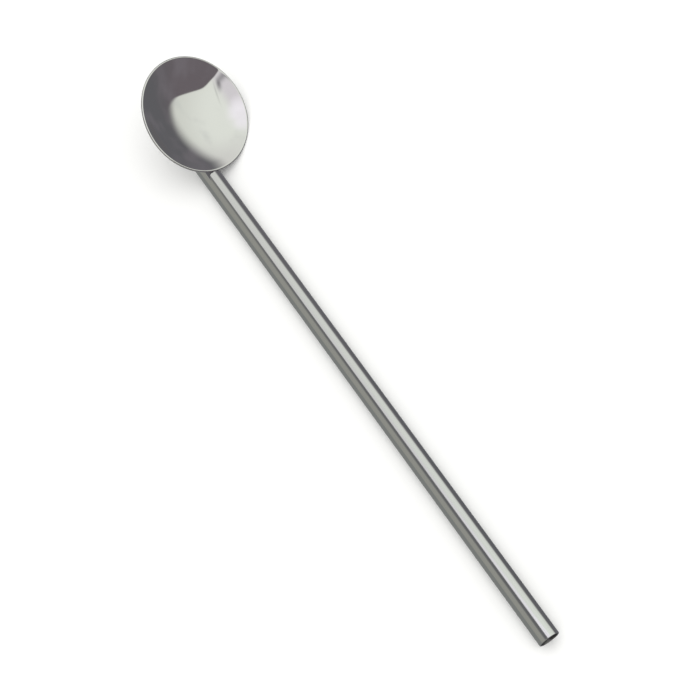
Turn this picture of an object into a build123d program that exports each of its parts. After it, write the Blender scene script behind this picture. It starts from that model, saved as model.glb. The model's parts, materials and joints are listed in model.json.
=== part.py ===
"""Bar spoon with a drinking-tube handle: a pressed round bowl, a straight tube and the braze that joins them.

The spoon is built in a working frame where the tube's axis is the X axis, its open end towards +X. The tube
lies along the straight outer part of the bowl's wall, and the inner end of that part is straight above the
origin. The finished spoon is then rolled about the tube until the bowl's lip touches the surface that the
tube lies on, because that is how it comes to rest, and the origin is put at the centre of its box, on that
surface.

All sizes are in millimetres and degrees.
"""
from math import acos, cos, degrees, radians, sin, sqrt
import os

from build123d import *

# ---- driving sizes --------------------------------------------------------------------------------------

overall_length = 197.0  # front of the bowl's lip to the open end, along the tube
handle_angle = 28.5  # between the tube and the plane of the bowl's lip

bowl_diameter = 35.3  # over the lip
wall_length = 2.4  # straight outer part of the bowl's wall, on the slant, which the tube lies along
sheet_thickness = 0.7  # the lip is rounded to a full half circle of this width

tube_diameter = 6.0
tube_wall = 0.5
end_rounding = 0.2  # deburred edges of the open end

seat_depth = 0.3  # how deep the bowl is let into the tube, less than the tube's wall
mouth_reach = 7.0  # inner end of the straight wall to the middle of the slanted mouth under the bowl
mouth_slant = 35.0  # mouth plane away from a square cut, the wall next to the bowl being the longer

braze_half_length = 4.0  # along the tube
braze_half_width = 2.1  # across the tube
braze_setback = 0.6  # from the lip's centre line to the nearer end of the braze, so that the lip hides it

# ---- sizes that follow ----------------------------------------------------------------------------------

tube_radius = tube_diameter / 2
bore_radius = tube_radius - tube_wall
lip_radius = sheet_thickness / 2  # the rounding of the lip
tilt = radians(handle_angle)

# The bowl is a cap of a sphere that runs on as a straight wall, at the tube's own angle. The lip's centre line is
# the circle where its middle surface ends.
lip_circle_radius = bowl_diameter / 2 - lip_radius
middle_radius = (lip_circle_radius - wall_length * cos(tilt)) / sin(tilt)
outer_radius = middle_radius + lip_radius
inner_radius = middle_radius - lip_radius
lip_drop = middle_radius * cos(tilt) - wall_length * sin(tilt)  # sphere's centre to the lip's centre line
bowl_depth = outer_radius - lip_drop  # lip's centre line to the outside of the bottom

# The tube is tangent to the bowl's back, so the sphere's centre is straight above the end of the straight wall.
centre_height = outer_radius + tube_radius - seat_depth
lip_centre_x = -lip_drop * sin(tilt)
lip_centre_height = centre_height - lip_drop * cos(tilt)
bowl_front = lip_centre_x - lip_circle_radius * cos(tilt) - lip_radius
open_end = bowl_front + overall_length


def roll_angle():
    """Angle of roll about the tube at which the lip touches the surface that the tube lies on."""
    drop = tube_radius - lip_radius
    a = lip_centre_height**2 + (lip_circle_radius * cos(tilt)) ** 2
    b = 2 * lip_centre_height * drop
    c = drop**2 - lip_circle_radius**2
    return degrees(acos((-b + sqrt(b * b - 4 * a * c)) / (2 * a)))


def on_sphere(radius, polar):
    """Point of a section through the bowl's axis, on a sphere about the bowl's centre."""
    return (radius * sin(polar), -radius * cos(polar))


def up_wall(radius, length):
    """Point of that section, this far up the straight wall."""
    x, y = on_sphere(radius, tilt)
    return (x + length * cos(tilt), y + length * sin(tilt))


def turned(*edges):
    """Revolves a closed section about the bowl's axis and tilts it as the bowl is tilted."""
    solid = revolve(Plane.XZ * Face(Wire(list(edges))), axis=Axis.Z)
    return Pos(0, 0, centre_height) * Rot(0, handle_angle, 0) * solid


def back_of_bowl(length):
    """Everything above the bowl's back, with its straight wall run on to this length."""
    bottom, wall_start, wall_end = on_sphere(outer_radius, 0), up_wall(outer_radius, 0), up_wall(outer_radius, length)
    above = (0, wall_end[1])
    return turned(
        Edge.make_line(above, bottom),
        Edge.make_three_point_arc(bottom, on_sphere(outer_radius, tilt / 2), wall_start),
        Edge.make_line(wall_start, wall_end),
        Edge.make_line(wall_end, above),
    )


def make_bowl():
    """A cap of sheet metal with a straight outer wall and a full round lip."""
    inner_bottom, inner_start = on_sphere(inner_radius, 0), up_wall(inner_radius, 0)
    outer_bottom, outer_start = on_sphere(outer_radius, 0), up_wall(outer_radius, 0)
    inner_lip, outer_lip = up_wall(inner_radius, wall_length), up_wall(outer_radius, wall_length)
    lip_top = up_wall(middle_radius, wall_length + lip_radius)
    return turned(
        Edge.make_line(outer_bottom, inner_bottom),
        Edge.make_three_point_arc(inner_bottom, on_sphere(inner_radius, tilt / 2), inner_start),
        Edge.make_line(inner_start, inner_lip),
        Edge.make_three_point_arc(inner_lip, lip_top, outer_lip),
        Edge.make_line(outer_lip, outer_start),
        Edge.make_three_point_arc(outer_start, on_sphere(outer_radius, tilt / 2), outer_bottom),
    )


def make_tube():
    """Straight tube, deburred at the open end, slanted at the mouth and let in to seat on the bowl's back."""
    slant_room = tube_radius / cos(radians(mouth_slant))
    start = -mouth_reach - 2 * slant_room
    length = open_end - start
    along = Plane((start, 0, 0), x_dir=(0, 1, 0), z_dir=(1, 0, 0))
    ring = Circle(tube_radius) - Circle(bore_radius)
    tube = extrude(along * ring, length)
    tube = fillet(tube.faces().sort_by(Axis.X)[-1].edges(), end_rounding)
    waste = Pos(-mouth_reach, 0, 0) * Rot(0, -mouth_slant, 0) * Pos(-length, 0, 0) * Box(
        2 * length, 4 * slant_room, 8 * slant_room
    )
    return tube - waste - back_of_bowl(wall_length) - make_bowl()


def make_braze():
    """Filler that closes the wedge between the tube and the bowl, down both sides and round the far end."""
    middle = wall_length - braze_setback - braze_half_length
    pad = Pos(middle, 0, 0) * extrude(Ellipse(braze_half_length, braze_half_width), 2 * tube_radius)
    full_tube = Rot(0, 90, 0) * Cylinder(tube_radius, 8 * braze_half_length)
    return pad - full_tube - back_of_bowl(wall_length + 2 * braze_half_length)


def main():
    """Build the pieces, lay the spoon down and write one file per piece."""
    pieces = {"bowl": make_bowl(), "tube_handle": make_tube(), "braze_seam": make_braze()}
    roll = Rot(-roll_angle(), 0, 0)
    rolled = {name: roll * piece for name, piece in pieces.items()}
    box = Compound(children=[Compound(piece.solids()) for piece in rolled.values()]).bounding_box()
    to_origin = Pos(-(box.min.X + box.max.X) / 2, -(box.min.Y + box.max.Y) / 2, tube_radius)
    os.makedirs("parts", exist_ok=True)
    for name, piece in rolled.items():
        export_step(to_origin * piece, f"parts/{name}.step")
    print(f"rolled {roll_angle():.3f} degrees, box {box.size.X:.3f} x {box.size.Y:.3f} x {box.size.Z:.3f}")
    print(f"bowl depth {bowl_depth:.3f}, middle radius {middle_radius:.3f}, lip drop {lip_drop:.3f}")
    print(f"open end at x {open_end - (box.min.X + box.max.X) / 2:.4f}")
    print(f"tube axis at y {-(box.min.Y + box.max.Y) / 2:.4f}, z {tube_radius:.4f}, lowest {box.min.Z:.4f}")


main()
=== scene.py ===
"""Bar spoon with a drinking-tube handle, lying on a pale table under soft studio light.

A round pressed bowl with a mirror polish, a straight drawn tube that is both handle and straw, and the bead
of silver braze that joins them. Meshes are built in millimetres in the spoon's own frame, where the tube's
axis is X and the inner end of the bowl's straight wall is straight above the origin, and are then laid where
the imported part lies. Everything in the scene is in metres.
"""
from __future__ import annotations

import json
import logging
from dataclasses import dataclass, field
from enum import Enum
from math import asin, cos, pi, radians, sin, sqrt, tan

import bmesh
import bpy
from mathutils import Matrix, Vector


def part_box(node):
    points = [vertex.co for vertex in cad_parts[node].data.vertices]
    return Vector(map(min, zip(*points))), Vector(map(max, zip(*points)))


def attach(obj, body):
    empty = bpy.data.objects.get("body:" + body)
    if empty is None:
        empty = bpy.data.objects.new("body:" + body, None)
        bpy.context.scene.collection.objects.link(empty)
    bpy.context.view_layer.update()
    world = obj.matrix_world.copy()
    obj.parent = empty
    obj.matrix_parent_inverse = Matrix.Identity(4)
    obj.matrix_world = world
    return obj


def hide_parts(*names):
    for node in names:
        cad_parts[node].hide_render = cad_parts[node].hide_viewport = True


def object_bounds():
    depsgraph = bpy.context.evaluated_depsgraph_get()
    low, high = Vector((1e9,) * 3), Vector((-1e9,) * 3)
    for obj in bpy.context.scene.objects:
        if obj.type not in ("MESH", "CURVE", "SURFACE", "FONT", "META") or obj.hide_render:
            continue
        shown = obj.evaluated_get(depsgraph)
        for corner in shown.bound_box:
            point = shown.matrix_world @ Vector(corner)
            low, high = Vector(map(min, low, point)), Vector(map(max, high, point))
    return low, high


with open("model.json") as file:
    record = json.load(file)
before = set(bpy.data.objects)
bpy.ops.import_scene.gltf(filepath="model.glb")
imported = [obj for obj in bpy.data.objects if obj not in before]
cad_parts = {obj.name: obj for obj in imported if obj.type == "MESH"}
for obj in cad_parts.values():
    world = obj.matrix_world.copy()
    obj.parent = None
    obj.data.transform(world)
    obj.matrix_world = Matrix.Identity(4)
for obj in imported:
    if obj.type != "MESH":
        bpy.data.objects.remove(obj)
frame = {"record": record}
cad_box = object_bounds()

log = logging.getLogger("bar_spoon")

MM = 0.001  # metres in a millimetre
MICRON = 0.000001
MERGE_MM = 0.0005  # vertices nearer than this are one
WAVE_PERIOD = pi / 10  # of a Wave Texture at scale 1, in the units of its vector
HALVINGS = 30  # of a range that a search narrows down, which ends far below MERGE_MM


class Slot(Enum):
    """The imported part's material slots."""

    BOWL = "bowl_steel"
    TUBE = "tube_steel"
    BRAZE = "braze"


# ---- colour and nodes -----------------------------------------------------------------------------------


def linear(hex_colour: str, strength: float = 1.0) -> tuple[float, float, float, float]:
    """Turns an sRGB hex colour into the linear values that sockets take.

    Args:
        hex_colour: The colour as "#RRGGBB".
        strength: Multiplies the three channels.

    Returns:
        Linear red, green and blue, and an alpha of 1.
    """
    channels = (int(hex_colour[i : i + 2], 16) / 255 for i in (1, 3, 5))
    red, green, blue = (
        strength * (c / 12.92 if c <= 0.04045 else ((c + 0.055) / 1.055) ** 2.4) for c in channels
    )
    return red, green, blue, 1.0


def add_node(
    tree: bpy.types.NodeTree, kind: str, settings: dict | None = None, inputs: dict | None = None
) -> bpy.types.Node:
    """Adds a node, sets its properties, and fills or links its sockets.

    Args:
        tree: The node tree that gets the node.
        kind: The node's type, such as "ShaderNodeTexNoise".
        settings: Property names and their values.
        inputs: Socket names or numbers, each with a value or with another node's output.

    Returns:
        The new node.
    """
    node = tree.nodes.new(kind)
    for name, value in (settings or {}).items():
        setattr(node, name, value)
    for socket, value in (inputs or {}).items():
        if isinstance(value, bpy.types.NodeSocket):
            tree.links.new(value, node.inputs[socket])
        else:
            node.inputs[socket].default_value = value
    return node


def new_material(name: str) -> tuple[bpy.types.Material, bpy.types.NodeTree]:
    """Makes an empty node material.

    Args:
        name: The material's name.

    Returns:
        The material and its node tree.
    """
    material = bpy.data.materials.new(name)
    material.use_nodes = True
    material.node_tree.nodes.clear()
    return material, material.node_tree


def millimetres_in(tree: bpy.types.NodeTree, place: Matrix) -> bpy.types.NodeSocket:
    """Adds Object coordinates in millimetres, measured in a piece's own frame.

    Args:
        tree: The node tree that gets the nodes.
        place: The matrix that lays the piece's own frame, in millimetres, in the row frame.

    Returns:
        The socket with the coordinates.
    """
    back = place.inverted()
    coordinates = add_node(tree, "ShaderNodeTexCoord")
    mapping = add_node(
        tree,
        "ShaderNodeMapping",
        {"vector_type": "POINT"},
        {
            "Vector": coordinates.outputs["Object"],
            "Location": back.translation,
            "Rotation": back.to_euler("XYZ"),
            "Scale": (1 / MM, 1 / MM, 1 / MM),
        },
    )
    return mapping.outputs["Vector"]


def add_noise(
    tree: bpy.types.NodeTree,
    spot: bpy.types.NodeSocket,
    size: float,
    detail: float = 2.0,
    roughness: float = 0.5,
) -> bpy.types.NodeSocket:
    """Adds noise.

    Args:
        tree: The node tree that gets the node.
        spot: The coordinates.
        size: The size of one lump, in the coordinates' unit.
        detail: How many finer layers lie on top.
        roughness: How strong the finer layers are.

    Returns:
        The noise, from 0 to 1.
    """
    inputs = {"Vector": spot, "Scale": 1 / size, "Detail": detail, "Roughness": roughness}
    return add_node(tree, "ShaderNodeTexNoise", inputs=inputs).outputs["Fac"]


def stretch_along(
    tree: bpy.types.NodeTree, spot: bpy.types.NodeSocket, length: float, width: float
) -> bpy.types.NodeSocket:
    """Scales coordinates so that one unit is a length along X and a width across it.

    Args:
        tree: The node tree that gets the node.
        spot: The coordinates.
        length: What becomes one unit along X.
        width: What becomes one unit along Y and Z.

    Returns:
        The scaled coordinates.
    """
    scale = {"Vector": spot, "Scale": (1 / length, 1 / width, 1 / width)}
    return add_node(tree, "ShaderNodeMapping", {"vector_type": "POINT"}, scale).outputs["Vector"]


def spread(
    tree: bpy.types.NodeTree,
    value: bpy.types.NodeSocket,
    limits: tuple[float, float],
    result: tuple[float, float],
    kind: str = "LINEAR",
) -> bpy.types.NodeSocket:
    """Spreads part of a value's range over another range.

    Args:
        tree: The node tree that gets the node.
        value: The value.
        limits: The part of its range to use.
        result: What the two limits become.
        kind: "LINEAR" or "SMOOTHSTEP".

    Returns:
        The new value.
    """
    names = ("From Min", "From Max", "To Min", "To Max")
    inputs = {"Value": value} | dict(zip(names, limits + result))
    return add_node(tree, "ShaderNodeMapRange", {"interpolation_type": kind}, inputs).outputs["Result"]


def blend(
    tree: bpy.types.NodeTree, share: bpy.types.NodeSocket, colour: str, other: str
) -> bpy.types.NodeSocket:
    """Blends from one colour to another.

    Args:
        tree: The node tree that gets the node.
        share: How much of the second colour is in the blend.
        colour: The first colour, as sRGB hex.
        other: The second colour, as sRGB hex.

    Returns:
        The blended colour.
    """
    inputs = {"Factor": share, "A": linear(colour), "B": linear(other)}
    return add_node(tree, "ShaderNodeMix", {"data_type": "RGBA"}, inputs).outputs["Result"]


def add_relief(
    tree: bpy.types.NodeTree,
    height: bpy.types.NodeSocket,
    depth: float,
    under: bpy.types.NodeSocket | None = None,
) -> bpy.types.NodeSocket:
    """Adds fine relief, which bends the light and leaves the shape alone.

    Args:
        tree: The material's node tree.
        height: The relief's height, from 0 to 1.
        depth: How deep the full height is, in metres.
        under: The normal of coarser relief below this, if any.

    Returns:
        The normal.
    """
    inputs = {"Height": height, "Distance": depth, "Strength": 1.0}
    if under:
        inputs["Normal"] = under
    return add_node(tree, "ShaderNodeBump", inputs=inputs).outputs["Normal"]


def lay_surface(
    tree: bpy.types.NodeTree, colour: object, metallic: float, roughness: object, normal: object
) -> None:
    """Adds the shader and the output.

    Args:
        tree: The material's node tree.
        colour: A linear colour, or a socket.
        metallic: 1 for metal and 0 for anything else.
        roughness: A number, or a socket.
        normal: The socket with the normal.
    """
    inputs = {"Base Color": colour, "Metallic": metallic, "Roughness": roughness, "Normal": normal}
    shader = add_node(tree, "ShaderNodeBsdfPrincipled", inputs=inputs)
    add_node(tree, "ShaderNodeOutputMaterial", inputs={"Surface": shader.outputs["BSDF"]})


# ---- finishes -------------------------------------------------------------------------------------------


@dataclass(frozen=True)
class MirrorBuffedSteel:
    """18/8 stainless sheet, pressed and then buffed to a mirror with the bowl turning on its own axis.

    It gives crisp reflections that swim a little, because buffing leaves the sheet very slightly uneven, and
    a close look shows faint rings where the wheel ran.
    """

    colour: str = "#CFCCCA"
    roughness: float = 0.035
    haze_roughness: float = 0.085  # where the buffing compound dulled it
    haze_mm: float = 7.0  # size of a hazy patch
    haze_range: tuple[float, float] = (0.42, 0.72)  # of the noise, from clear to hazy
    ring_mm: float = 0.32  # from one buffing ring to the next, coarser than the real 0.05 mm so that it shows
    ring_depth: float = 0.05 * MICRON
    ring_wander: float = 2.5  # how far a ring strays from round
    swell_mm: float = 9.0  # size of one swell of the sheet
    swell_depth: float = 9.0 * MICRON

    def make(self, name: str, place: Matrix) -> bpy.types.Material:
        """Makes the material.

        Args:
            name: The material's name.
            place: Lays the bowl's own frame, with its axis on Z, in the row frame.

        Returns:
            The material.
        """
        material, tree = new_material(name)
        spot = millimetres_in(tree, place)
        haze = add_noise(tree, spot, self.haze_mm, detail=3.0)
        clear_to_hazy = (self.roughness, self.haze_roughness)
        roughness = spread(tree, haze, self.haze_range, clear_to_hazy, "SMOOTHSTEP")
        rings = add_node(
            tree,
            "ShaderNodeTexWave",
            {"wave_type": "RINGS", "rings_direction": "Z", "wave_profile": "SIN"},
            {
                "Vector": spot,
                "Scale": WAVE_PERIOD / self.ring_mm,
                "Distortion": self.ring_wander,
                "Detail": 3.0,
                "Detail Scale": 0.35,
            },
        )
        swell = add_noise(tree, spot, self.swell_mm, detail=1.0, roughness=0.3)
        swells = add_relief(tree, swell, self.swell_depth)
        surface = add_relief(tree, rings.outputs["Fac"], self.ring_depth, swells)
        lay_surface(tree, linear(self.colour), 1.0, roughness, surface)
        return material


@dataclass(frozen=True)
class DrawnPolishedSteel:
    """Drawn 18/8 stainless tube, belt-polished along its length.

    Its reflections are long straight stripes with slightly soft edges, because fine lines run along the tube.
    """

    colour: str = "#CAC9C7"
    roughness: float = 0.09
    line_roughness: float = 0.17  # in the bottom of the deeper lines
    line_mm: float = 0.22  # width of a polishing line, coarser than the real 0.03 mm so that it shows
    line_length_mm: float = 60.0
    line_range: tuple[float, float] = (0.4, 0.75)  # of the noise, from high to low in a line
    line_depth: float = 0.35 * MICRON
    wander_mm: float = 22.0  # the tube is very slightly wavy after drawing and straightening
    wander_depth: float = 9.0 * MICRON

    def make(self, name: str, place: Matrix) -> bpy.types.Material:
        """Makes the material.

        Args:
            name: The material's name.
            place: Lays the tube's own frame, with its axis on X, in the row frame.

        Returns:
            The material.
        """
        material, tree = new_material(name)
        spot = millimetres_in(tree, place)
        drawn_out = stretch_along(tree, spot, self.line_length_mm, self.line_mm)
        lines = add_noise(tree, drawn_out, 1.0, detail=4.0, roughness=0.6)
        roughness = spread(tree, lines, self.line_range, (self.roughness, self.line_roughness))
        wander = add_noise(tree, spot, self.wander_mm, detail=1.0, roughness=0.3)
        waviness = add_relief(tree, wander, self.wander_depth)
        surface = add_relief(tree, lines, self.line_depth, waviness)
        lay_surface(tree, linear(self.colour), 1.0, roughness, surface)
        return material


@dataclass(frozen=True)
class AsDrawnBore:
    """The tube's inside, left as the drawing plug left it.

    No polishing wheel reaches it, so it is darker grey than the outside, satin, and scored along its length.
    """

    colour: str = "#8D8B89"
    scored_colour: str = "#6E6C6B"
    roughness: float = 0.34
    score_mm: float = 0.3
    score_length_mm: float = 25.0
    score_depth: float = 3.0 * MICRON

    def make(self, name: str, place: Matrix) -> bpy.types.Material:
        """Makes the material.

        Args:
            name: The material's name.
            place: Lays the tube's own frame, with its axis on X, in the row frame.

        Returns:
            The material.
        """
        material, tree = new_material(name)
        spot = millimetres_in(tree, place)
        drawn_out = stretch_along(tree, spot, self.score_length_mm, self.score_mm)
        scores = add_noise(tree, drawn_out, 1.0, detail=3.0)
        colour = blend(tree, scores, self.colour, self.scored_colour)
        surface = add_relief(tree, scores, self.score_depth)
        lay_surface(tree, colour, 1.0, self.roughness, surface)
        return material


@dataclass(frozen=True)
class SilverBraze:
    """Silver brazing filler, pickled and brushed clean.

    It is a warmer, yellower white than the steel and duller, with the small ripples that it froze with.
    """

    colour: str = "#C2BDAD"
    shade_colour: str = "#A39D8C"
    roughness: float = 0.3
    dull_roughness: float = 0.46
    ripple_mm: float = 0.7
    ripple_depth: float = 18.0 * MICRON
    grain_mm: float = 0.12
    grain_depth: float = 2.5 * MICRON
    grain_range: tuple[float, float] = (0.3, 0.7)  # of the noise, from bright to dull

    def make(self, name: str, place: Matrix) -> bpy.types.Material:
        """Makes the material.

        Args:
            name: The material's name.
            place: Lays the spoon's own frame in the row frame.

        Returns:
            The material.
        """
        material, tree = new_material(name)
        spot = millimetres_in(tree, place)
        ripple = add_noise(tree, spot, self.ripple_mm)
        grain = add_noise(tree, spot, self.grain_mm)
        colour = blend(tree, ripple, self.colour, self.shade_colour)
        roughness = spread(tree, grain, self.grain_range, (self.roughness, self.dull_roughness))
        ripples = add_relief(tree, ripple, self.ripple_depth)
        surface = add_relief(tree, grain, self.grain_depth, ripples)
        lay_surface(tree, colour, 1.0, roughness, surface)
        return material


@dataclass(frozen=True)
class PaperSweep:
    """Matt white backdrop paper: a plain surface with a faint tooth."""

    colour: str = "#F4F4F3"
    roughness: float = 0.9
    tooth_mm: float = 0.8
    tooth_depth: float = 10.0 * MICRON

    def make(self, name: str) -> bpy.types.Material:
        """Makes the material.

        Args:
            name: The material's name.

        Returns:
            The material.
        """
        material, tree = new_material(name)
        spot = millimetres_in(tree, Matrix.Identity(4))
        tooth = add_relief(tree, add_noise(tree, spot, self.tooth_mm), self.tooth_depth)
        lay_surface(tree, linear(self.colour), 0.0, self.roughness, tooth)
        return material


# ---- mesh helpers ---------------------------------------------------------------------------------------


def draw_line(
    mesh: bmesh.types.BMesh, start: bmesh.types.BMVert, end: Vector, steps: int
) -> bmesh.types.BMVert:
    """Draws a straight run of a profile by extruding its last vertex.

    Args:
        mesh: The mesh that holds the profile.
        start: The profile's last vertex.
        end: Where the run ends.
        steps: How many edges the run has.

    Returns:
        The run's last vertex.
    """
    stride = (end - start.co) / steps
    last = start
    for _ in range(steps):
        last = bmesh.ops.extrude_vert_indiv(mesh, verts=[last])["verts"][0]
        bmesh.ops.translate(mesh, verts=[last], vec=stride)
    return last


def draw_arc(
    mesh: bmesh.types.BMesh, start: bmesh.types.BMVert, centre: Vector, angle: float, steps: int
) -> bmesh.types.BMVert:
    """Draws a round run of a profile in the XZ plane by spinning its last vertex.

    Args:
        mesh: The mesh that holds the profile.
        start: The profile's last vertex.
        centre: The arc's centre.
        angle: The arc's angle about +Y, in radians.
        steps: How many edges the arc has.

    Returns:
        The arc's last vertex.
    """
    spun = bmesh.ops.spin(
        mesh,
        geom=[start],
        cent=centre,
        axis=(0, 1, 0),
        dvec=(0, 0, 0),
        angle=angle,
        steps=steps,
        use_merge=False,
        use_normal_flip=False,
        use_duplicate=False,
    )
    return next(item for item in spun["geom_last"] if isinstance(item, bmesh.types.BMVert))


def turn_about(mesh: bmesh.types.BMesh, axis: Vector, steps: int) -> None:
    """Turns the whole profile once about an axis through the origin, and closes the seam and poles.

    Args:
        mesh: The mesh that holds the profile.
        axis: The axis.
        steps: How many sides the round has.
    """
    bmesh.ops.spin(
        mesh,
        geom=mesh.verts[:] + mesh.edges[:],
        cent=(0, 0, 0),
        axis=axis,
        dvec=(0, 0, 0),
        angle=2 * pi,
        steps=steps,
        use_merge=True,
        use_normal_flip=False,
        use_duplicate=False,
    )
    bmesh.ops.remove_doubles(mesh, verts=mesh.verts[:], dist=MERGE_MM)


def lay_down(name: str, mesh: bmesh.types.BMesh, place: Matrix, sharp_degrees: float) -> bpy.types.Object:
    """Turns a mesh in millimetres into an object in metres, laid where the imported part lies.

    Args:
        name: The object's name.
        mesh: The finished mesh, which is freed.
        place: Lays the mesh's own frame, in millimetres, in the row frame.
        sharp_degrees: Edges that turn by more than this stay crisp.

    Returns:
        The object, which sits at the origin.
    """
    bmesh.ops.remove_doubles(mesh, verts=mesh.verts[:], dist=MERGE_MM)
    bmesh.ops.recalc_face_normals(mesh, faces=mesh.faces[:])
    bmesh.ops.transform(mesh, matrix=Matrix.Scale(MM, 4) @ place, verts=mesh.verts[:])
    for face in mesh.faces:
        face.smooth = True
    for edge in mesh.edges:
        edge.smooth = edge.calc_face_angle(0.0) < radians(sharp_degrees)
    data = bpy.data.meshes.new(name)
    mesh.to_mesh(data)
    mesh.free()
    piece = bpy.data.objects.new(name, data)
    bpy.context.scene.collection.objects.link(piece)
    return piece


def report(piece: bpy.types.Object) -> None:
    """Logs a piece's name, face count and size in millimetres."""
    size = Vector(piece.bound_box[6]) - Vector(piece.bound_box[0])
    log.info(
        "%s: %d faces, %.2f x %.2f x %.2f mm",
        piece.name,
        len(piece.data.polygons),
        *(side / MM for side in size),
    )


# ---- the spoon ------------------------------------------------------------------------------------------


@dataclass
class SpoonSizes:
    """The spoon's driving sizes, in millimetres and degrees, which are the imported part's."""

    overall_length: float
    handle_angle: float = 28.5  # between the tube and the plane of the bowl's lip
    bowl_diameter: float = 35.3
    wall_length: float = 2.4  # straight outer part of the bowl's wall, on the slant, along the tube
    sheet: float = 0.7
    tube_diameter: float = 6.0
    tube_wall: float = 0.5
    seat_depth: float = 0.3  # how deep the bowl is let into the tube

    @property
    def tilt(self) -> float:
        """The handle's angle in radians, which is also the slope of the bowl's straight wall."""
        return radians(self.handle_angle)

    @property
    def lip_radius(self) -> float:
        """Radius of the lip's full round."""
        return self.sheet / 2

    @property
    def lip_circle(self) -> float:
        """Radius of the circle that the lip's full round runs along."""
        return self.bowl_diameter / 2 - self.lip_radius

    @property
    def middle_radius(self) -> float:
        """Radius of the sphere in the middle of the bowl's sheet, which runs on as the straight wall."""
        return (self.lip_circle - self.wall_length * cos(self.tilt)) / sin(self.tilt)

    @property
    def outer_radius(self) -> float:
        """Radius of the sphere of the bowl's back."""
        return self.middle_radius + self.lip_radius

    @property
    def inner_radius(self) -> float:
        """Radius of the sphere of the bowl's inside."""
        return self.middle_radius - self.lip_radius

    @property
    def lip_drop(self) -> float:
        """From the sphere's centre down to the plane of the lip."""
        return self.middle_radius * cos(self.tilt) - self.wall_length * sin(self.tilt)

    @property
    def tube_radius(self) -> float:
        """Outside radius of the tube."""
        return self.tube_diameter / 2

    @property
    def bore_radius(self) -> float:
        """Inside radius of the tube."""
        return self.tube_radius - self.tube_wall

    @property
    def centre_height(self) -> float:
        """From the tube's axis up to the centre of the bowl's sphere."""
        return self.outer_radius + self.tube_radius - self.seat_depth

    @property
    def bowl_axis(self) -> Vector:
        """The way the bowl opens, in the spoon's own frame."""
        return Vector((sin(self.tilt), 0, cos(self.tilt)))

    @property
    def lip_centre(self) -> Vector:
        """The middle of the lip's circle in the spoon's own frame."""
        return Vector((0, 0, self.centre_height)) - self.lip_drop * self.bowl_axis

    def depth_in_bowl(self, point: Vector) -> tuple[float, Vector]:
        """Measures how far a point is inside the bowl's back, as if the straight wall never ended.

        Args:
            point: A point in the spoon's own frame.

        Returns:
            The depth, which is negative outside, and the direction straight out of the back there.
        """
        from_centre = point - Vector((0, 0, self.centre_height))
        rise = from_centre.dot(self.bowl_axis)
        outwards = from_centre - rise * self.bowl_axis
        if outwards.length > -rise * tan(self.tilt):
            away = sin(self.tilt) * outwards.normalized() - cos(self.tilt) * self.bowl_axis
        else:
            away = from_centre.normalized()
        return self.outer_radius - from_centre.dot(away), away


@dataclass
class Lie:
    """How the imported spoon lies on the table, read from the frame: rolled about its tube onto its lip."""

    sizes: SpoonSizes
    bore_end: Vector  # a point of the tube's axis, in millimetres
    bowl_low: Vector
    bowl_high: Vector

    @classmethod
    def of_packed(cls, sizes: SpoonSizes) -> Lie:
        """Reads the tube's axis from the bore mount and the bowl's box from its node.

        Args:
            sizes: The spoon's sizes.

        Returns:
            How the spoon lies.
        """
        bore = next(mount for mount in frame["record"]["mounts"] if mount["name"] == "bore")
        low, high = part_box("bowl")
        return cls(sizes, Vector(bore["pos_m"]) / MM, low / MM, high / MM)

    @property
    def roll(self) -> float:
        """Roll about the tube in radians, which is how far round the lip's centre is from straight above."""
        across = (self.bowl_low.y + self.bowl_high.y) / 2 - self.bore_end.y
        return asin(across / self.sizes.lip_centre.z)

    @property
    def spoon_place(self) -> Matrix:
        """Lays the spoon's own frame, in millimetres, in the row frame."""
        along = (self.bowl_low.x + self.bowl_high.x) / 2 - self.sizes.lip_centre.x
        seat = Vector((along, self.bore_end.y, self.bore_end.z))
        return Matrix.Translation(seat) @ Matrix.Rotation(-self.roll, 4, "X")

    @property
    def bowl_place(self) -> Matrix:
        """Lays the bowl's own frame, with the sphere's centre at its origin and the bowl opening up Z."""
        lift = Matrix.Translation((0, 0, self.sizes.centre_height))
        return self.spoon_place @ lift @ Matrix.Rotation(self.sizes.tilt, 4, "Y")

    @property
    def open_end(self) -> float:
        """Where the tube's open end is along the spoon's own X axis."""
        return (self.sizes.overall_length / 2) - self.spoon_place.translation.x


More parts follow.
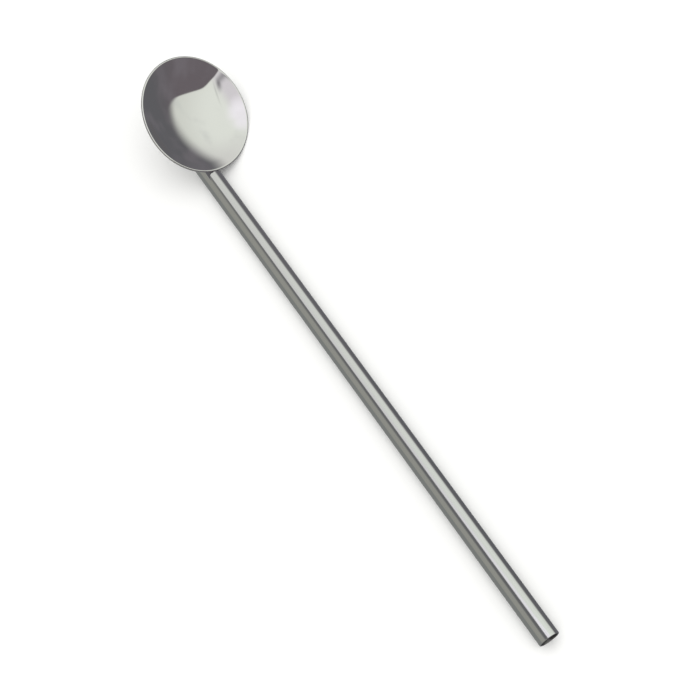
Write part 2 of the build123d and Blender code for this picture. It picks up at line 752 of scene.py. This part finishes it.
@dataclass
class PressedBowl:
    """The bowl: a shallow cap of sheet steel with a straight outer wall and a fully rounded lip."""

    sizes: SpoonSizes
    lie: Lie
    finish: MirrorBuffedSteel = field(default_factory=MirrorBuffedSteel)
    sides: int = 256
    arc_steps: int = 56
    wall_steps: int = 8
    lip_steps: int = 14

    def build(self) -> bpy.types.Object:
        """Spins a point round the sheet's section, and the section round the bowl's axis.

        Returns:
            The bowl, at rest.
        """
        sizes = self.sizes
        mesh = bmesh.new()
        bottom = mesh.verts.new((0, 0, -sizes.inner_radius))
        sphere_centre = Vector((0, 0, 0))
        lip_centre = Vector((sizes.lip_circle, 0, -sizes.lip_drop))
        up_wall = sizes.wall_length * Vector((cos(sizes.tilt), 0, sin(sizes.tilt)))
        last = draw_arc(mesh, bottom, sphere_centre, -sizes.tilt, self.arc_steps)
        last = draw_line(mesh, last, last.co + up_wall, self.wall_steps)
        last = draw_arc(mesh, last, lip_centre, pi, self.lip_steps)
        last = draw_line(mesh, last, last.co - up_wall, self.wall_steps)
        draw_arc(mesh, last, sphere_centre, sizes.tilt, self.arc_steps)
        turn_about(mesh, Vector((0, 0, 1)), self.sides)
        return lay_down("bowl_polished", mesh, self.lie.bowl_place, sharp_degrees=50)

    def dress(self, piece: bpy.types.Object) -> None:
        """Gives the bowl its mirror polish."""
        piece.data.materials.append(self.finish.make("mirror_buffed_steel", self.lie.bowl_place))

    def make(self) -> bpy.types.Object:
        """Returns:
            The finished piece.
        """
        piece = self.build()
        self.dress(piece)
        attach(piece, "root")
        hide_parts("bowl")
        return piece


@dataclass
class TubeHandle:
    """The handle: a straight tube, deburred at its open end, with a slanted mouth and a seat for the bowl."""

    sizes: SpoonSizes
    lie: Lie
    finish: DrawnPolishedSteel = field(default_factory=DrawnPolishedSteel)
    bore_finish: AsDrawnBore = field(default_factory=AsDrawnBore)
    end_rounding: float = 0.2
    mouth_reach: float = 7.0  # inner end of the straight wall to the middle of the slanted mouth
    mouth_slant: float = 35.0  # degrees from a square cut, the wall next to the bowl being the longer
    seat_run: float = 5.0  # half of the closely divided length round the seat
    sides: int = 128
    seat_steps: int = 48
    mouth_steps: int = 8
    handle_steps: int = 24
    round_steps: int = 5

    def draw_wall(self, mesh: bmesh.types.BMesh) -> None:
        """Draws the wall's section: out along the outside, round the open end and back along the bore.

        Args:
            mesh: The mesh that gets the profile.
        """
        outside, bore = self.sizes.tube_radius, self.sizes.bore_radius
        start = -self.mouth_reach - 2 * outside
        end, rounding = self.lie.open_end, self.end_rounding
        last = mesh.verts.new((start, 0, outside))
        last = draw_line(mesh, last, Vector((-self.seat_run, 0, outside)), self.mouth_steps)
        last = draw_line(mesh, last, Vector((self.seat_run, 0, outside)), self.seat_steps)
        last = draw_line(mesh, last, Vector((end - rounding, 0, outside)), self.handle_steps)
        last = draw_arc(mesh, last, Vector((end - rounding, 0, outside - rounding)), pi / 2, self.round_steps)
        last = draw_line(mesh, last, Vector((end, 0, bore + rounding)), 2)
        last = draw_arc(mesh, last, Vector((end - rounding, 0, bore + rounding)), pi / 2, self.round_steps)
        last = draw_line(mesh, last, Vector((self.seat_run, 0, bore)), self.handle_steps)
        draw_line(mesh, last, Vector((start, 0, bore)), self.mouth_steps)

    def cut_mouth(self, mesh: bmesh.types.BMesh) -> None:
        """Cuts the mouth on the slant and closes the cut wall.

        Args:
            mesh: The turned tube.
        """
        slant = radians(self.mouth_slant)
        bmesh.ops.bisect_plane(
            mesh,
            geom=mesh.verts[:] + mesh.edges[:] + mesh.faces[:],
            dist=MERGE_MM / 10,
            plane_co=(-self.mouth_reach, 0, 0),
            plane_no=(cos(slant), 0, sin(slant)),
            clear_inner=True,
            clear_outer=False,
        )
        rim = [edge for edge in mesh.edges if edge.is_boundary]
        bmesh.ops.bridge_loops(mesh, edges=rim)

    def let_in_seat(self, mesh: bmesh.types.BMesh) -> None:
        """Lets the bowl's back into the top of the tube, as far as the plane of the lip.

        Args:
            mesh: The turned tube.
        """
        for vert in mesh.verts:
            depth, away = self.sizes.depth_in_bowl(vert.co)
            if depth > 0 and (vert.co - self.sizes.lip_centre).dot(self.sizes.bowl_axis) < 0:
                vert.co += depth * away

    def build(self) -> bpy.types.Object:
        """Turns the wall's section about the tube's axis, then cuts the mouth and the seat.

        Returns:
            The tube, at rest, with its bore faces on the second material.
        """
        mesh = bmesh.new()
        self.draw_wall(mesh)
        turn_about(mesh, Vector((1, 0, 0)), self.sides)
        self.cut_mouth(mesh)
        self.let_in_seat(mesh)
        inside = self.sizes.bore_radius + self.end_rounding
        for face in mesh.faces:
            face.material_index = int(all(vert.co.yz.length < inside for vert in face.verts))
        return lay_down("tube_handle_polished", mesh, self.lie.spoon_place, sharp_degrees=50)

    def dress(self, piece: bpy.types.Object) -> None:
        """Gives the tube its polished outside and its as-drawn bore."""
        place = self.lie.spoon_place
        piece.data.materials.append(self.finish.make("drawn_polished_steel", place))
        piece.data.materials.append(self.bore_finish.make("as_drawn_bore", place))

    def make(self) -> bpy.types.Object:
        """Returns:
            The finished piece.
        """
        piece = self.build()
        self.dress(piece)
        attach(piece, "root")
        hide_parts("tube_handle")
        return piece


@dataclass
class BrazeBead:
    """The bead of filler between the tube and the bowl's back, down the seat's sides and round its end."""

    sizes: SpoonSizes
    lie: Lie
    finish: SilverBraze = field(default_factory=SilverBraze)
    half_length: float = 4.0  # along the tube
    half_width: float = 2.1
    setback: float = 0.6  # from the lip to the nearer end of the bead, so that the lip hides it
    tube_toe: float = 1.1  # how far the bead runs out along the tube, as a share of its half sizes
    bowl_toe: float = 1.12  # the same for how far it runs out over the bowl's back
    hollow: float = 0.88  # where the concave face's control point is
    sink: float = 0.01  # how far the toes sink into the steel, so that no gap shows
    sides: int = 192
    face_steps: int = 10

    @property
    def middle(self) -> float:
        """The bead's middle along the tube."""
        return self.sizes.wall_length - self.setback - self.half_length

    def on_tube(self, x: float, y: float) -> Vector:
        """The point of the tube's top under (x, y), a hair inside the steel."""
        return Vector((x, y, sqrt(self.sizes.tube_radius**2 - y**2) - self.sink))

    def on_bowl(self, x: float, y: float) -> Vector:
        """The point of the bowl's back over (x, y), a hair inside the steel.

        Args:
            x: Along the tube.
            y: Across the tube.

        Returns:
            The point, on the sphere or on the straight wall that runs on from it.
        """
        sizes = self.sizes
        low, high = 0.0, sizes.centre_height
        for _ in range(HALVINGS):
            z = (low + high) / 2
            low, high = (z, high) if self.sizes.depth_in_bowl(Vector((x, y, z)))[0] < 0 else (low, z)
        return Vector((x, y, low + self.sink))

    def meeting(self, x: float, y: float) -> Vector:
        """Finds where the tube and the bowl's back part on the way out from the bead's middle.

        Args:
            x: Along the tube from the bead's middle, on its plan outline.
            y: Across the tube, on the same outline.

        Returns:
            The point, which under the straight wall is no farther out than the bead's hollow.
        """
        near, far = 0.0, self.hollow
        for _ in range(HALVINGS):
            share = (near + far) / 2
            along, across = self.middle + share * x, share * y
            sunk = self.on_bowl(along, across).z < self.on_tube(along, across).z
            near, far = (share, far) if sunk else (near, share)
        return self.on_bowl(self.middle + near * x, near * y)

    def section_point(self, share: float, x: float, y: float) -> Vector:
        """A point of the bead's concave face.

        Args:
            share: 0 at the tube and 1 at the bowl.
            x: Along the tube from the bead's middle, on its plan outline.
            y: Across the tube, on the same outline.

        Returns:
            The point.
        """
        middle = self.middle

        def between(grown: float, up: float) -> Vector:
            """A point part of the way up from the tube to the bowl, on the outline grown by a factor."""
            low = self.on_tube(middle + grown * x, grown * y)
            high = self.on_bowl(middle + grown * x, grown * y)
            return low if high.z < low.z else low.lerp(high, up)

        toe, hollow, top = between(self.tube_toe, 0), between(self.hollow, 0.5), between(self.bowl_toe, 1)
        return (1 - share) ** 2 * toe + 2 * share * (1 - share) * hollow + share**2 * top

    def build(self) -> bpy.types.Object:
        """Extrudes rings up the bead's face and in to the seat, and closes the last ring on the first.

        Returns:
            The bead, at rest.
        """
        mesh = bmesh.new()
        bmesh.ops.create_circle(mesh, cap_ends=False, radius=1.0, segments=self.sides)
        rings = [mesh.verts[:]]
        edges = mesh.edges[:]
        for _ in range(self.face_steps + 1):
            made = bmesh.ops.extrude_edge_only(mesh, edges=edges)["geom"]
            rings.append([item for item in made if isinstance(item, bmesh.types.BMVert)])
            edges = [
                item
                for item in made
                if isinstance(item, bmesh.types.BMEdge) and all(vert in rings[-1] for vert in item.verts)
            ]
        bmesh.ops.bridge_loops(mesh, edges=[edge for edge in mesh.edges if edge.is_boundary])
        for row, ring in enumerate(rings):
            for vert in ring:
                x, y = self.half_length * vert.co.x, self.half_width * vert.co.y
                if row <= self.face_steps:
                    vert.co = self.section_point(row / self.face_steps, x, y)
                else:
                    vert.co = self.meeting(x, y)
        return lay_down("braze_bead", mesh, self.lie.spoon_place, sharp_degrees=60)

    def dress(self, piece: bpy.types.Object) -> None:
        """Gives the bead its dull silver."""
        piece.data.materials.append(self.finish.make("silver_braze", self.lie.spoon_place))

    def make(self) -> bpy.types.Object:
        """Returns:
            The finished piece.
        """
        piece = self.build()
        self.dress(piece)
        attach(piece, "root")
        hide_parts("braze_seam")
        return piece


# ---- the studio -----------------------------------------------------------------------------------------


@dataclass(frozen=True)
class Edge:
    """A straight edge of something in the studio, as a plane through the spoon with the thing on one side."""

    normal: tuple[float, float, float]
    soft: float = 0.02  # half the width of the edge, as the sine of an angle
    shift: float = 0.0  # moves the edge along its normal


@dataclass(frozen=True)
class Fold:
    """A soft dark fold in the tent's cloth, along the plane through the spoon with this normal."""

    normal: tuple[float, float, float]
    width: float  # from its middle to where it ends, as the sine of an angle
    depth: float  # how far it takes the cloth to its shade
    height: float  # of its middle, as the sine of the elevation
    reach: float  # from its middle to where it has faded, up and down


@dataclass
class Studio:
    """A white tent lit from above, a dark doorway on one side of it and a dim room behind.

    The steel mirrors all of this, so most of the spoon's look is here. It is painted on the world by
    direction, as soft-edged areas. The paper on the table is lit evenly from all round, and by a softbox that
    the steel doesn't mirror. What is mirrored twice shows one dark tone, so that the bowl's wall has no
    second image in it.
    """

    low_sky: str = "#CACFC9"
    high_sky: str = "#D9DFD9"
    far_sky: str = "#C8CAC8"  # the tent's far end, over the bowl
    ridge_sky: str = "#CCCBD0"
    zenith: str = "#ECECF3"
    cloth_shade: str = "#BFC4C2"
    fold_shade: str = "#77777B"
    dark_side: str = "#5B5C60"
    doorway: str = "#645F64"
    dark_haze: str = "#706D73"
    back_wall: str = "#8E8F8A"
    back_floor: str = "#787B7A"
    back_shade: str = "#5F6063"
    backdrop: str = "#F7F7F6"
    dome_strength: float = 1.1  # of the even light on the paper, so that it is just white
    steel_share: float = 0.62  # of the light that steel gives back, so colours above are as they look in it
    slope: Edge = Edge((0.509, -0.127, 1), soft=0.17)  # the tent's sloping hem
    hem: Edge = Edge((0, 0, 1), soft=0.11, shift=0.03)
    door_top: Edge = Edge((-1.146, 0.547, 1))
    lintel: Edge = Edge((-0.634, -0.182, 1))
    jamb: Edge = Edge((-0.653, 0.252, 1), soft=0.035)  # where hem and door meet, rounded
    door_blend: float = 0.09  # rounds the door's top corner
    door_soft: float = 0.014
    tent_back: Edge = Edge((0, 1, 0), soft=0.07, shift=-0.13)
    lamp: Edge = Edge((0.09, 0.08, 1), soft=0.045, shift=0.95)
    far_end: Edge = Edge((-1, 0, 0), soft=0.3, shift=0.35)
    ridge: Edge = Edge((0, -1, 0), soft=0.11, shift=-0.27)
    high_back: Edge = Edge((0, 0, 1), soft=0.11, shift=0.78)
    folds: tuple[Fold, ...] = (
        Fold((-0.047, -0.93, 0.366), width=0.08, depth=0.9, height=0.66, reach=0.12),
        Fold((0, -0.897, 0.442), width=0.026, depth=0.35, height=0.7, reach=0.16),
    )
    door_inside: Edge = Edge((0.6, 0.2, 0.5), soft=0.35, shift=0.45)
    sky_rise: tuple[float, float] = (0.1, 0.75)  # where the sky starts to brighten and stops, as sines
    cloud_size: float = 1 / 2.6  # of one cloud, as a share of the distance to it
    cloud_share: float = 0.6  # how far a cloud takes a colour to its shade
    cloth_cloud: tuple[float, float] = (0.5, 0.75)  # the noise's values where each cloud starts and is full
    dark_cloud: tuple[float, float] = (0.45, 0.7)
    lamp_cloud: tuple[float, float] = (0.2, 0.5)
    paper: PaperSweep = field(default_factory=PaperSweep)
    floor_radius: float = 3.0
    floor_sides: int = 128
    softbox_size: float = 1.2
    softbox_height: float = 1.3
    softbox_watts: float = 5.0

    def distance(
        self, tree: bpy.types.NodeTree, way: bpy.types.NodeSocket, normal: tuple[float, float, float]
    ) -> bpy.types.NodeSocket:
        """Adds how far a direction is from a plane through the spoon, as the sine of the angle.

        Args:
            tree: The world's node tree.
            way: The direction looked at.
            normal: The plane's normal.

        Returns:
            The distance, positive on the normal's side.
        """
        unit = Vector(normal).normalized()
        return add_node(
            tree, "ShaderNodeVectorMath", {"operation": "DOT_PRODUCT"}, {0: way, 1: unit}
        ).outputs["Value"]

    def ramp(
        self, tree: bpy.types.NodeTree, value: bpy.types.NodeSocket, low: float, high: float, top: float = 1.0
    ) -> bpy.types.NodeSocket:
        """Adds a smooth ramp.

        Args:
            tree: The world's node tree.
            value: What to ramp.
            low: Where the ramp is 0.
            high: Where the ramp is at its top.
            top: The ramp's top.

        Returns:
            The ramp.
        """
        return spread(tree, value, (low, high), (0.0, top), "SMOOTHSTEP")

    def side_of(
        self, tree: bpy.types.NodeTree, way: bpy.types.NodeSocket, edge: Edge
    ) -> bpy.types.NodeSocket:
        """Adds a mask that is 1 on an edge's own side and 0 on the other.

        Args:
            tree: The world's node tree.
            way: The direction looked at.
            edge: The edge.

        Returns:
            The mask.
        """
        along = self.distance(tree, way, edge.normal)
        return self.ramp(tree, along, edge.shift - edge.soft, edge.shift + edge.soft)

    def combine(self, tree: bpy.types.NodeTree, operation: str, *values: object) -> bpy.types.NodeSocket:
        """Adds a Math node.

        Args:
            tree: The world's node tree.
            operation: The node's operation, such as "MULTIPLY".
            values: Numbers or sockets.

        Returns:
            The result.
        """
        return add_node(
            tree, "ShaderNodeMath", {"operation": operation}, dict(enumerate(values))
        ).outputs["Value"]

    def over(
        self, tree: bpy.types.NodeTree, mask: bpy.types.NodeSocket, under: object, colour: object
    ) -> bpy.types.NodeSocket:
        """Lays a colour over another where a mask is 1.

        Args:
            tree: The world's node tree.
            mask: The mask.
            under: The colour below, a socket or a linear colour.
            colour: The colour on top, a socket or a linear colour.

        Returns:
            The mixed colour.
        """
        node = add_node(tree, "ShaderNodeMix", {"data_type": "RGBA"}, {"Factor": mask})
        for socket, value in zip((s for s in node.inputs if s.type == "RGBA"), (under, colour)):
            if isinstance(value, bpy.types.NodeSocket):
                tree.links.new(value, socket)
            else:
                socket.default_value = value
        return next(s for s in node.outputs if s.type == "RGBA")

    def as_seen(self, hex_colour: str) -> tuple[float, float, float, float]:
        """The light that a part of the studio gives, for it to look this colour in the steel."""
        return linear(hex_colour, 1 / self.steel_share)

    def hang_cloth(self, tree: bpy.types.NodeTree, way: bpy.types.NodeSocket, cloud: object) -> object:
        """Paints the tent's cloth: paler towards the lamp, dimmer at its far end, cloudy and folded.

        Args:
            tree: The world's node tree.
            way: The direction looked at.
            cloud: A soft noise from 0 to 1.

        Returns:
            The cloth's colour.
        """
        up = self.distance(tree, way, (0, 0, 1))
        rising = self.ramp(tree, up, *self.sky_rise)
        cloth = self.over(tree, rising, self.as_seen(self.low_sky), self.as_seen(self.high_sky))
        shaded = self.ramp(tree, cloud, *self.cloth_cloud, top=self.cloud_share)
        cloth = self.over(tree, shaded, cloth, self.as_seen(self.cloth_shade))
        cloth = self.over(tree, self.side_of(tree, way, self.ridge), cloth, self.as_seen(self.ridge_sky))
        cloth = self.over(tree, self.side_of(tree, way, self.far_end), cloth, self.as_seen(self.far_sky))
        ragged = self.ramp(tree, cloud, *self.lamp_cloud)
        lamp = self.combine(tree, "MULTIPLY", self.side_of(tree, way, self.lamp), ragged)
        cloth = self.over(tree, lamp, cloth, self.as_seen(self.zenith))
        for fold in self.folds:
            off = self.combine(tree, "ABSOLUTE", self.distance(tree, way, fold.normal))
            line = self.ramp(tree, off, fold.width, 0.0, top=fold.depth)
            away = self.combine(tree, "ABSOLUTE", self.combine(tree, "SUBTRACT", up, fold.height))
            fade = self.ramp(tree, away, fold.reach, 0.0)
            crease = self.combine(tree, "MULTIPLY", line, fade)
            cloth = self.over(tree, crease, cloth, self.as_seen(self.fold_shade))
        return cloth

    def cut_tent(self, tree: bpy.types.NodeTree, way: bpy.types.NodeSocket) -> bpy.types.NodeSocket:
        """Masks the part of the front that the tent's cloth covers: above its hems, and not in the doorway.

        Args:
            tree: The world's node tree.
            way: The direction looked at.

        Returns:
            The mask.
        """
        above_hem = self.combine(
            tree, "MULTIPLY", self.side_of(tree, way, self.slope), self.side_of(tree, way, self.hem)
        )
        above_hem = self.combine(tree, "MULTIPLY", above_hem, self.side_of(tree, way, self.jamb))
        edges = [self.distance(tree, way, edge.normal) for edge in (self.door_top, self.lintel)]
        outside = self.combine(tree, "SMOOTH_MAX", *edges, self.door_blend)
        round_door = self.ramp(tree, outside, -self.door_soft, self.door_soft)
        return self.combine(tree, "MULTIPLY", above_hem, round_door)

    def paint_world(self) -> None:
        """Paints what the steel mirrors, and lights all else with a plain pale backdrop."""
        world = bpy.data.worlds.new("studio")
        bpy.context.scene.world = world
        world.use_nodes = True
        tree = world.node_tree
        tree.nodes.clear()
        way = add_node(tree, "ShaderNodeTexCoord").outputs["Generated"]
        noise = add_noise(tree, way, self.cloud_size)

        in_door = self.side_of(tree, way, self.door_inside)
        dark = self.over(tree, in_door, self.as_seen(self.dark_side), self.as_seen(self.doorway))
        hazy = self.ramp(tree, noise, *self.dark_cloud, top=self.cloud_share)
        dark = self.over(tree, hazy, dark, self.as_seen(self.dark_haze))
        front = self.over(tree, self.cut_tent(tree, way), dark, self.hang_cloth(tree, way, noise))

        over_table = self.side_of(tree, way, self.hem)
        back = self.over(tree, over_table, self.as_seen(self.back_floor), self.as_seen(self.back_wall))
        back = self.over(tree, self.side_of(tree, way, self.high_back), back, self.as_seen(self.back_shade))
        room = self.over(tree, self.side_of(tree, way, self.tent_back), back, front)

        path = add_node(tree, "ShaderNodeLightPath")
        twice = self.combine(tree, "GREATER_THAN", path.outputs["Glossy Depth"], 1)
        room = self.over(tree, twice, room, linear(self.dark_side, self.steel_share**-2))
        mirrored = add_node(tree, "ShaderNodeBackground", inputs={"Color": room, "Strength": 1.0})
        plain = add_node(
            tree,
            "ShaderNodeBackground",
            inputs={"Color": linear(self.backdrop), "Strength": self.dome_strength},
        )
        both = add_node(
            tree,
            "ShaderNodeMixShader",
            inputs={
                0: path.outputs["Is Glossy Ray"],
                1: plain.outputs["Background"],
                2: mirrored.outputs["Background"],
            },
        )
        add_node(tree, "ShaderNodeOutputWorld", inputs={"Surface": both.outputs["Shader"]})

    def lay_floor(self) -> bpy.types.Object:
        """Lays the table's paper, which the steel doesn't mirror.

        Returns:
            The floor.
        """
        mesh = bmesh.new()
        bmesh.ops.create_circle(mesh, cap_ends=True, radius=self.floor_radius, segments=self.floor_sides)
        data = bpy.data.meshes.new("floor")
        mesh.to_mesh(data)
        mesh.free()
        floor = bpy.data.objects.new("floor", data)
        bpy.context.scene.collection.objects.link(floor)
        data.materials.append(self.paper.make("white_paper"))
        floor.visible_glossy = False
        return floor

    def hang_softbox(self) -> bpy.types.Object:
        """Hangs the large soft light over the table.

        Returns:
            The light.
        """
        light = bpy.data.lights.new("overhead_softbox", "AREA")
        light.shape = "SQUARE"
        light.size = self.softbox_size
        light.energy = self.softbox_watts
        softbox = bpy.data.objects.new("overhead_softbox", light)
        softbox.location = (0, 0, self.softbox_height)
        softbox.visible_glossy = False
        bpy.context.scene.collection.objects.link(softbox)
        return softbox

    def build(self) -> None:
        """Sets up the light, the floor and the colour handling."""
        bpy.context.scene.view_settings.view_transform = "Standard"
        self.paint_world()
        self.lay_floor()
        self.hang_softbox()


@dataclass
class ProductCamera:
    """A camera that looks steeply down on the spoon, turned so that the spoon runs from corner to corner."""

    aim: Vector = field(default_factory=lambda: Vector((2.61, -3.76, 3.0)))  # in millimetres
    azimuth: float = 78.87
    elevation: float = 67.31
    roll: float = -24.25  # degrees about the line of sight
    distance: float = 406.4
    lens: float = 75.44
    sensor: float = 36.0
    sight: tuple[float, float] = (0.01, 20.0)  # nearest and farthest that it sees, in metres

    def build(self) -> bpy.types.Object:
        """Places the camera.

        Returns:
            The camera.
        """
        around, above = radians(self.azimuth), radians(self.elevation)
        back = Vector((sin(around) * cos(above), -cos(around) * cos(above), sin(above)))
        data = bpy.data.cameras.new("camera")
        data.sensor_width = self.sensor
        data.lens = self.lens
        data.clip_start, data.clip_end = self.sight
        camera = bpy.data.objects.new("camera", data)
        turn = (-back).to_track_quat("-Z", "Y").to_matrix().to_4x4()
        place = Matrix.Translation((self.aim + self.distance * back) * MM)
        camera.matrix_world = place @ turn @ Matrix.Rotation(radians(self.roll), 4, "Z")
        bpy.context.scene.collection.objects.link(camera)
        bpy.context.scene.camera = camera
        return camera


def main() -> None:
    """Builds the camera, the spoon and the studio."""
    logging.basicConfig(level=logging.INFO, format="%(name)s: %(message)s")
    ProductCamera().build()
    low, high = cad_box
    sizes = SpoonSizes(overall_length=(high.x - low.x) / MM)
    lie = Lie.of_packed(sizes)
    for part in (PressedBowl(sizes, lie), TubeHandle(sizes, lie), BrazeBead(sizes, lie)):
        report(part.make())
    Studio().build()


if __name__ == "__main__":
    main()
